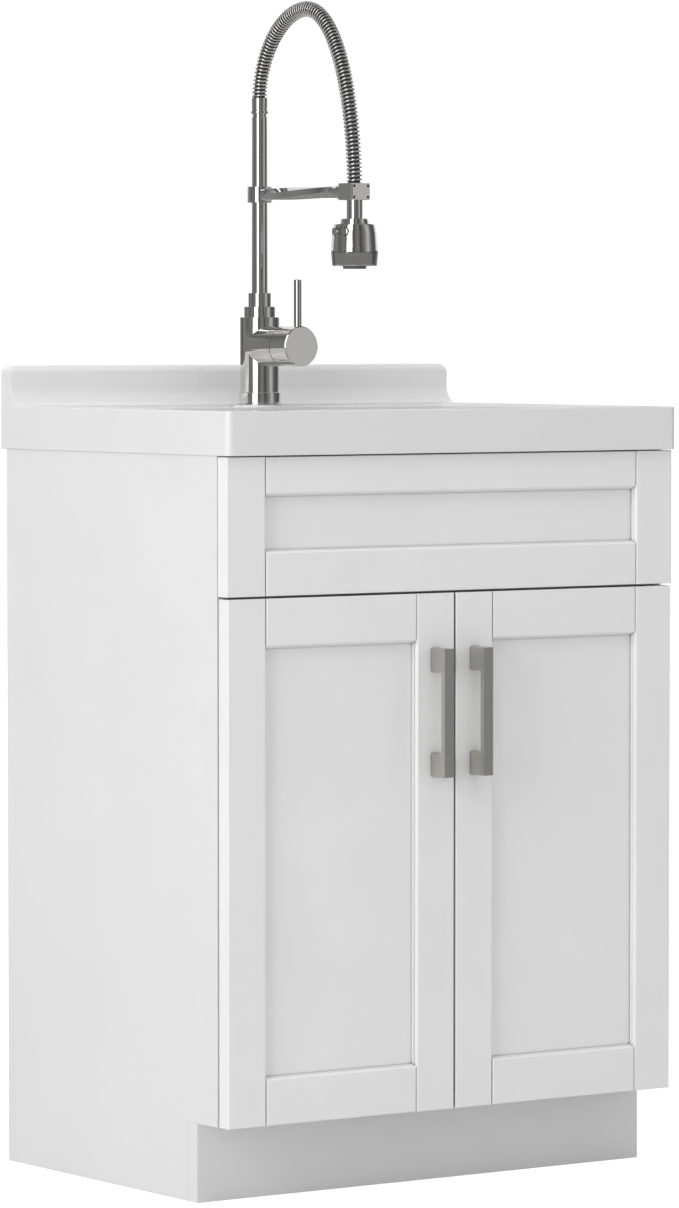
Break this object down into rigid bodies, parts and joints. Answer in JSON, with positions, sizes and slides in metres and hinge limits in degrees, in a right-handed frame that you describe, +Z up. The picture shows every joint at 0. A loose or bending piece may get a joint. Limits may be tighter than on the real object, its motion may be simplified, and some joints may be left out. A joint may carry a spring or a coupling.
{
  "type": "laundry sink cabinet",
  "caption": "White laundry sink cabinet with hinged shaker doors, a one-piece sink top with a backsplash, and a spring-neck faucet with a swivelling spray head.",
  "frame": {"origin": "on the floor, under the middle of the whole width and the whole depth", "axes": "+X to the right as seen from the front, +Y from the doors to the wall, +Z up"},
  "size_m": [0.6096, 0.4836, 1.3199],
  "materials": {
    "case_paint": "satin",
    "case_board": "satin",
    "brace_wood": "raw",
    "front_paint": "satin",
    "bumper_rubber": "soft",
    "pull_nickel": "brushed",
    "hinge_steel": "plated",
    "sink_gloss": "gloss",
    "drain_steel": "brushed",
    "drain_plastic": "satin",
    "nut_plastic": "satin",
    "shank_brass": "machined",
    "cartridge_plastic": "satin",
    "chrome": "polished",
    "spring_steel": "polished",
    "hose_rubber": "braided",
    "screw_steel": "dark",
    "nozzle_plastic": "satin"
  },
  "bodies": {
    "cabinet": {"left_side": "case_paint", "right_side": "case_paint", "bottom_panel": "case_board", "toe_kick": "case_paint", "front_rails": "case_board", "back_rails": "case_board", "corner_braces": "brace_wood", "front_left_stile": "front_paint", "front_right_stile": "front_paint", "front_top_rail": "front_paint", "front_bottom_rail": "front_paint", "front_panel": "front_paint", "door_bumpers": "bumper_rubber", "left_hinge_arms": "hinge_steel", "right_hinge_arms": "hinge_steel", "sink_top": "sink_gloss", "drain_strainer": "drain_steel", "drain_locknut": "nut_plastic", "tailpiece": "drain_plastic", "mounting_shank": "shank_brass", "mounting_nut": "nut_plastic", "base_ring": "chrome", "faucet_body": "chrome", "mixer_cartridge": "cartridge_plastic"},
    "left_door": {"left_door_hinge_stile": "front_paint", "left_door_pull_stile": "front_paint", "left_door_top_rail": "front_paint", "left_door_bottom_rail": "front_paint", "left_door_panel": "front_paint", "left_pull": "pull_nickel", "left_pull_screws": "hinge_steel", "left_hinge_cups": "hinge_steel"},
    "right_door": {"right_door_hinge_stile": "front_paint", "right_door_pull_stile": "front_paint", "right_door_top_rail": "front_paint", "right_door_bottom_rail": "front_paint", "right_door_panel": "front_paint", "right_pull": "pull_nickel", "right_pull_screws": "hinge_steel", "right_hinge_cups": "hinge_steel"},
    "left_inner_links": {"left_hinge_inner_links": "hinge_steel"},
    "left_outer_links": {"left_hinge_outer_links": "hinge_steel"},
    "right_inner_links": {"right_hinge_inner_links": "hinge_steel"},
    "right_outer_links": {"right_hinge_outer_links": "hinge_steel"},
    "basket": {"strainer_basket": "drain_steel"},
    "mixer_stem": {"mixer_stem": "shank_brass"},
    "mixer_lever": {"mixer_cap": "chrome", "lever_pin": "chrome"},
    "spout": {"riser": "chrome", "riser_ferrule": "chrome", "neck_spring": "spring_steel", "spray_hose": "hose_rubber", "arm_clamp": "chrome", "support_arm": "chrome", "head_holder": "chrome", "holder_screws": "screw_steel"},
    "spray_head": {"spray_head": "chrome", "spray_face": "nozzle_plastic"},
    "spray_toggle": {"spray_toggle": "chrome"}
  },
  "joints": [
    {"name": "left_door_hinge", "type": "hinge", "parent": "cabinet", "child": "left_door", "pos_m": [-0.2975, -0.21275, 0.3725], "axis": [0, 0, -1], "range_deg": [0, 105]},
    {"name": "right_door_hinge", "type": "hinge", "parent": "cabinet", "child": "right_door", "pos_m": [0.2975, -0.21275, 0.3725], "axis": [0, 0, 1], "range_deg": [0, 105]},
    {"name": "left_inner_link_pivot", "type": "hinge", "parent": "cabinet", "child": "left_inner_links", "pos_m": [-0.2975, -0.21275, 0.3725], "axis": [0, 0, -1], "range_deg": [0, 35.5]},
    {"name": "left_outer_link_pivot", "type": "hinge", "parent": "cabinet", "child": "left_outer_links", "pos_m": [-0.2975, -0.21275, 0.3725], "axis": [0, 0, -1], "range_deg": [0, 70.5]},
    {"name": "right_inner_link_pivot", "type": "hinge", "parent": "cabinet", "child": "right_inner_links", "pos_m": [0.2975, -0.21275, 0.3725], "axis": [0, 0, 1], "range_deg": [0, 35.5]},
    {"name": "right_outer_link_pivot", "type": "hinge", "parent": "cabinet", "child": "right_outer_links", "pos_m": [0.2975, -0.21275, 0.3725], "axis": [0, 0, 1], "range_deg": [0, 70.5]},
    {"name": "basket_lift", "type": "slide", "parent": "cabinet", "child": "basket", "axis": [0, 0, 1], "range_m": [0, 0.3]},
    {"name": "lever_turn", "type": "hinge", "parent": "cabinet", "child": "mixer_stem", "pos_m": [0, 0.14625, 0.9276], "axis": [0, -1, 0], "range_deg": [-45, 45]},
    {"name": "lever_tilt", "type": "hinge", "parent": "mixer_stem", "child": "mixer_lever", "pos_m": [0, 0.14625, 0.9276], "axis": [1, 0, 0], "range_deg": [0, 18]},
    {"name": "spout_swivel", "type": "hinge", "parent": "cabinet", "child": "spout", "pos_m": [0, 0.16875, 1], "axis": [0, 0, 1], "continuous": true},
    {"name": "head_swivel", "type": "hinge", "parent": "spout", "child": "spray_head", "pos_m": [0, -0.02225, 1.1], "axis": [0, 0, 1], "continuous": true},
    {"name": "toggle_rock", "type": "hinge", "parent": "spray_head", "child": "spray_toggle", "pos_m": [-0.02005, -0.02651, 1.057], "axis": [0, 0, 1], "range_deg": [-5, 5]}
  ],
  "couplings": [
    {"joint": "left_inner_link_pivot", "follows": "left_door_hinge", "ratio": 0.33333},
    {"joint": "left_outer_link_pivot", "follows": "left_door_hinge", "ratio": 0.66667},
    {"joint": "right_inner_link_pivot", "follows": "right_door_hinge", "ratio": 0.33333},
    {"joint": "right_outer_link_pivot", "follows": "right_door_hinge", "ratio": 0.66667}
  ]
}
